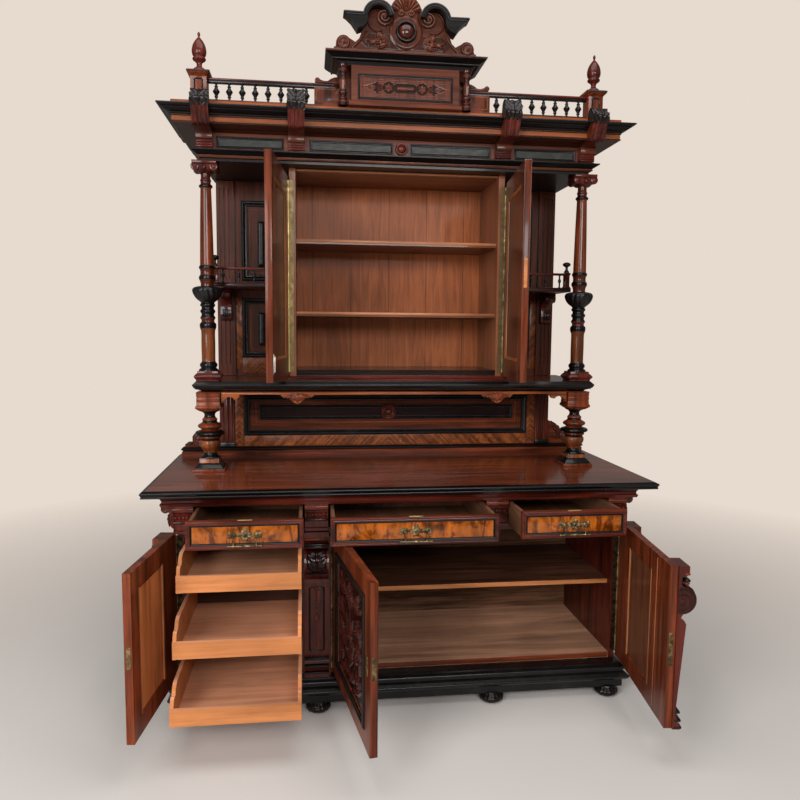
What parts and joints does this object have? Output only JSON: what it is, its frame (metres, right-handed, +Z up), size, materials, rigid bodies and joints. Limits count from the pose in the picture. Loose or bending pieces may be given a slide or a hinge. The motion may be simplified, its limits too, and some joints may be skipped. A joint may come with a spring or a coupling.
{
  "type": "buffet cabinet",
  "caption": "Tall carved wooden buffet cabinet: base with hinged doors, drawers and pull-out trays under a columned hutch with a cupboard, cornice and crest.",
  "frame": {"origin": "centre of the bounding box at floor level, doors and trays standing open", "axes": "+Z up, +X to the right seen from the front, the front faces -Y"},
  "size_m": [1.9, 1.3118, 2.6703],
  "materials": {
    "walnut": "dark red-brown polished walnut",
    "red_walnut": "polished red-brown wood",
    "ebonised": "black stained and polished wood",
    "burr": "orange burr veneer, polished",
    "oak": "light brown waxed interior wood",
    "brass": "aged brass"
  },
  "bodies": {
    "cabinet": {"plinth": "ebonised", "hutch_shelf": "ebonised", "cornice": "ebonised", "base_side_left": "walnut", "base_side_right": "walnut", "base_back": "walnut", "drawer_frame": "walnut", "niche_back": "walnut", "cupboard_side_left": "walnut", "cupboard_side_right": "walnut", "wing_panel_left": "walnut", "wing_panel_right": "walnut", "wing_shelf_left": "walnut", "wing_shelf_right": "walnut", "frieze": "walnut", "balustrade_left": "walnut", "balustrade_right": "walnut", "pediment": "walnut", "crest": "walnut", "base_top": "red_walnut", "fixed_pilaster": "red_walnut", "baluster_left": "red_walnut", "baluster_right": "red_walnut", "column_left": "red_walnut", "column_right": "red_walnut", "base_bottom": "oak", "base_divider": "oak", "base_shelf": "oak", "cupboard_back": "oak", "cupboard_shelf_1": "oak", "cupboard_shelf_2": "oak", "left_door_hinge": "brass", "middle_door_hinge": "brass", "right_door_hinge": "brass", "upper_door_left_hinge": "brass", "upper_door_right_hinge": "brass"},
    "left_door": {"left_door_frame": "walnut", "left_door_panel": "walnut"},
    "middle_door": {"middle_door_frame": "red_walnut", "middle_door_panel": "walnut"},
    "right_door": {"right_door_frame": "walnut", "right_door_panel": "walnut", "right_door_pilaster": "red_walnut"},
    "upper_door_left": {"upper_door_left": "walnut"},
    "upper_door_right": {"upper_door_right": "walnut"},
    "left_drawer": {"left_drawer_box": "oak", "left_drawer_front": "burr", "left_drawer_pull": "brass"},
    "left_bail": {"left_drawer_bail": "brass"},
    "middle_drawer": {"middle_drawer_box": "oak", "middle_drawer_front": "burr", "middle_drawer_pull": "brass"},
    "middle_bail": {"middle_drawer_bail": "brass"},
    "right_drawer": {"right_drawer_box": "oak", "right_drawer_front": "burr", "right_drawer_pull": "brass"},
    "right_bail": {"right_drawer_bail": "brass"},
    "tray_1": {"tray_1": "oak"},
    "tray_2": {"tray_2": "oak"},
    "tray_3": {"tray_3": "oak"}
  },
  "joints": [
    {"name": "left_door_hinge", "type": "hinge", "parent": "cabinet", "child": "left_door", "pos_m": [-0.8501, -0.05206, 0], "axis": [0, 0, -1], "range_deg": [-11, 11]},
    {"name": "middle_door_hinge", "type": "hinge", "parent": "cabinet", "child": "middle_door", "pos_m": [-0.28405, -0.08116, 0], "axis": [0, 0, -1], "range_deg": [-81, 10]},
    {"name": "right_door_hinge", "type": "hinge", "parent": "cabinet", "child": "right_door", "pos_m": [0.8501, -0.05206, 0], "axis": [0, 0, 1], "range_deg": [-82.5, 27]},
    {"name": "upper_door_left_hinge", "type": "hinge", "parent": "cabinet", "child": "upper_door_left", "pos_m": [-0.4461, 0.26794, 0], "axis": [0, 0, -1], "range_deg": [-95.5, 19.5]},
    {"name": "upper_door_right_hinge", "type": "hinge", "parent": "cabinet", "child": "upper_door_right", "pos_m": [0.4461, 0.26794, 0], "axis": [0, 0, 1], "range_deg": [-83, 32]},
    {"name": "left_drawer_slide", "type": "slide", "parent": "cabinet", "child": "left_drawer", "axis": [0, -1, 0], "range_m": [-0.219, 0.2]},
    {"name": "left_bail_hinge", "type": "hinge", "parent": "left_drawer", "child": "left_bail", "pos_m": [-0.58153, -0.30376, 0.73805], "axis": [-1, 0, 0], "range_deg": [0, 85]},
    {"name": "middle_drawer_slide", "type": "slide", "parent": "cabinet", "child": "middle_drawer", "axis": [0, -1, 0], "range_m": [-0.222, 0.2]},
    {"name": "middle_bail_hinge", "type": "hinge", "parent": "middle_drawer", "child": "middle_bail", "pos_m": [0, -0.30676, 0.73805], "axis": [-1, 0, 0], "range_deg": [0, 85]},
    {"name": "right_drawer_slide", "type": "slide", "parent": "cabinet", "child": "right_drawer", "axis": [0, -1, 0], "range_m": [-0.195, 0.22]},
    {"name": "right_bail_hinge", "type": "hinge", "parent": "right_drawer", "child": "right_bail", "pos_m": [0.58153, -0.27976, 0.73805], "axis": [-1, 0, 0], "range_deg": [0, 85]},
    {"name": "tray_1_slide", "type": "slide", "parent": "cabinet", "child": "tray_1", "axis": [0, -1, 0], "range_m": [-0.25, 0.15]},
    {"name": "tray_2_slide", "type": "slide", "parent": "cabinet", "child": "tray_2", "axis": [0, -1, 0], "range_m": [-0.336, 0.06]},
    {"name": "tray_3_slide", "type": "slide", "parent": "cabinet", "child": "tray_3", "axis": [0, -1, 0], "range_m": [-0.407, 0.01]}
  ]
}
